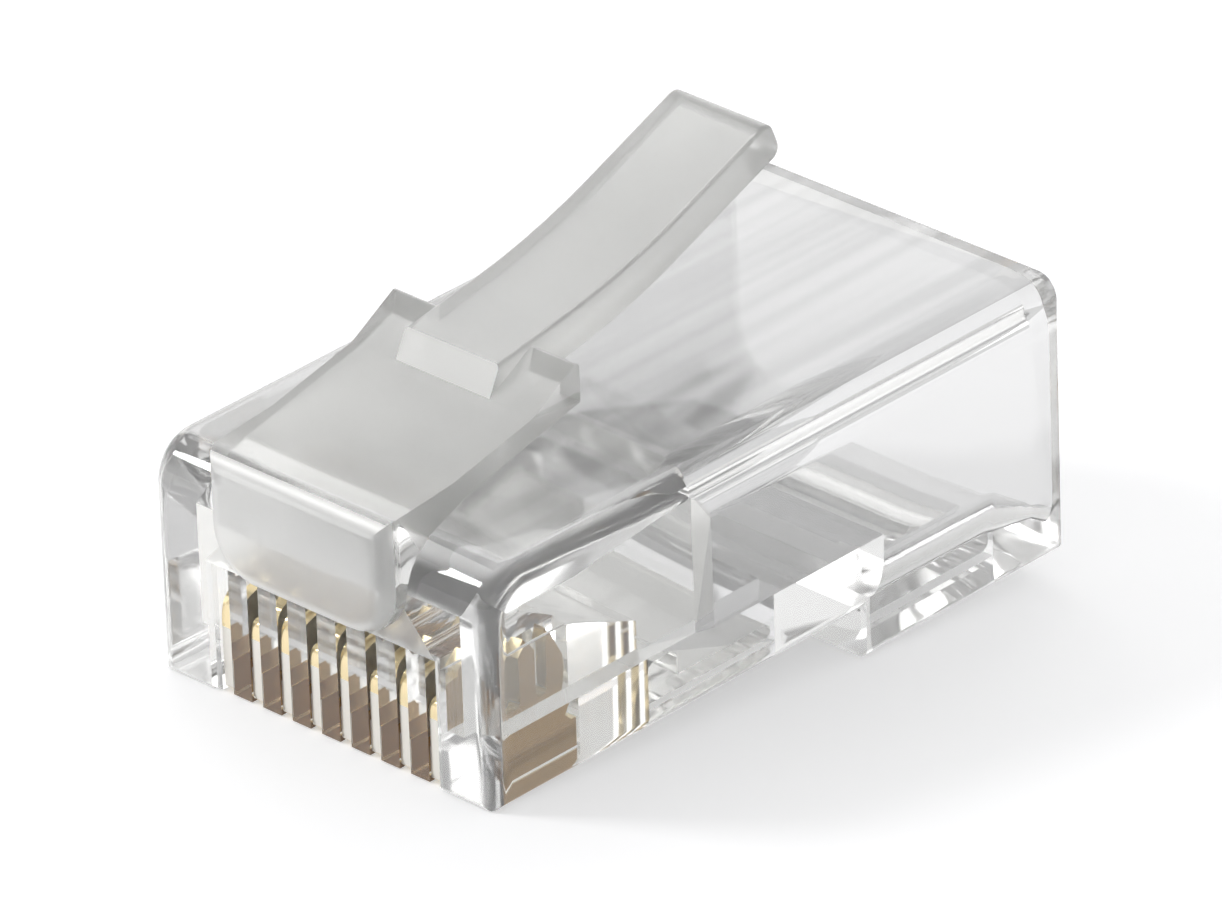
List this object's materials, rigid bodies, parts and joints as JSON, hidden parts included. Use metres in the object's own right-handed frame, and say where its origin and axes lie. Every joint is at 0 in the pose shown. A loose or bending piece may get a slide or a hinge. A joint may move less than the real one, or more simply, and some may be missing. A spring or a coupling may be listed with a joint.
{
  "type": "rj45 modular plug",
  "caption": "Clear modular plug for round twisted-pair cable: rectangular body with a rear cable entry, a slotted nose with blade contacts and a sprung release latch.",
  "frame": {"origin": "middle of the plug's footprint, at the height of the rear foot's underside", "axes": "+Y from the nose to the cable entry, +Z towards the latch, X across the contacts"},
  "size_m": [0.0116, 0.0214, 0.0131],
  "materials": {
    "clear_plastic": "clear, polished",
    "gold_contact": "gold plated"
  },
  "bodies": {
    "body": {"housing": "clear_plastic"},
    "latch": {"latch": "clear_plastic"},
    "jacket_clamp": {"jacket_clamp": "clear_plastic"},
    "conductor_clamp": {"conductor_clamp": "clear_plastic"},
    "contact_1": {"contact_1": "gold_contact"},
    "contact_2": {"contact_2": "gold_contact"},
    "contact_3": {"contact_3": "gold_contact"},
    "contact_4": {"contact_4": "gold_contact"},
    "contact_5": {"contact_5": "gold_contact"},
    "contact_6": {"contact_6": "gold_contact"},
    "contact_7": {"contact_7": "gold_contact"},
    "contact_8": {"contact_8": "gold_contact"}
  },
  "joints": [
    {"name": "latch_press", "type": "hinge", "parent": "body", "child": "latch", "pos_m": [0, -0.00818, 0.00863], "axis": [-1, 0, 0], "range_deg": [0, 14.5], "stiffness_Nm_per_rad": 0.3},
    {"name": "jacket_clamp_swing", "type": "hinge", "parent": "body", "child": "jacket_clamp", "pos_m": [0, 0.00913, 0.0005], "axis": [-1, 0, 0], "range_deg": [0, 28]},
    {"name": "conductor_clamp_swing", "type": "hinge", "parent": "body", "child": "conductor_clamp", "pos_m": [0, 0.00065, 0.00167], "axis": [-1, 0, 0], "range_deg": [0, 26]},
    {"name": "contact_1_crimp", "type": "slide", "parent": "body", "child": "contact_1", "axis": [0, 0, 1], "range_m": [0, 0.00065]},
    {"name": "contact_2_crimp", "type": "slide", "parent": "body", "child": "contact_2", "axis": [0, 0, 1], "range_m": [0, 0.00065]},
    {"name": "contact_3_crimp", "type": "slide", "parent": "body", "child": "contact_3", "axis": [0, 0, 1], "range_m": [0, 0.00065]},
    {"name": "contact_4_crimp", "type": "slide", "parent": "body", "child": "contact_4", "axis": [0, 0, 1], "range_m": [0, 0.00065]},
    {"name": "contact_5_crimp", "type": "slide", "parent": "body", "child": "contact_5", "axis": [0, 0, 1], "range_m": [0, 0.00065]},
    {"name": "contact_6_crimp", "type": "slide", "parent": "body", "child": "contact_6", "axis": [0, 0, 1], "range_m": [0, 0.00065]},
    {"name": "contact_7_crimp", "type": "slide", "parent": "body", "child": "contact_7", "axis": [0, 0, 1], "range_m": [0, 0.00065]},
    {"name": "contact_8_crimp", "type": "slide", "parent": "body", "child": "contact_8", "axis": [0, 0, 1], "range_m": [0, 0.00065]}
  ]
}
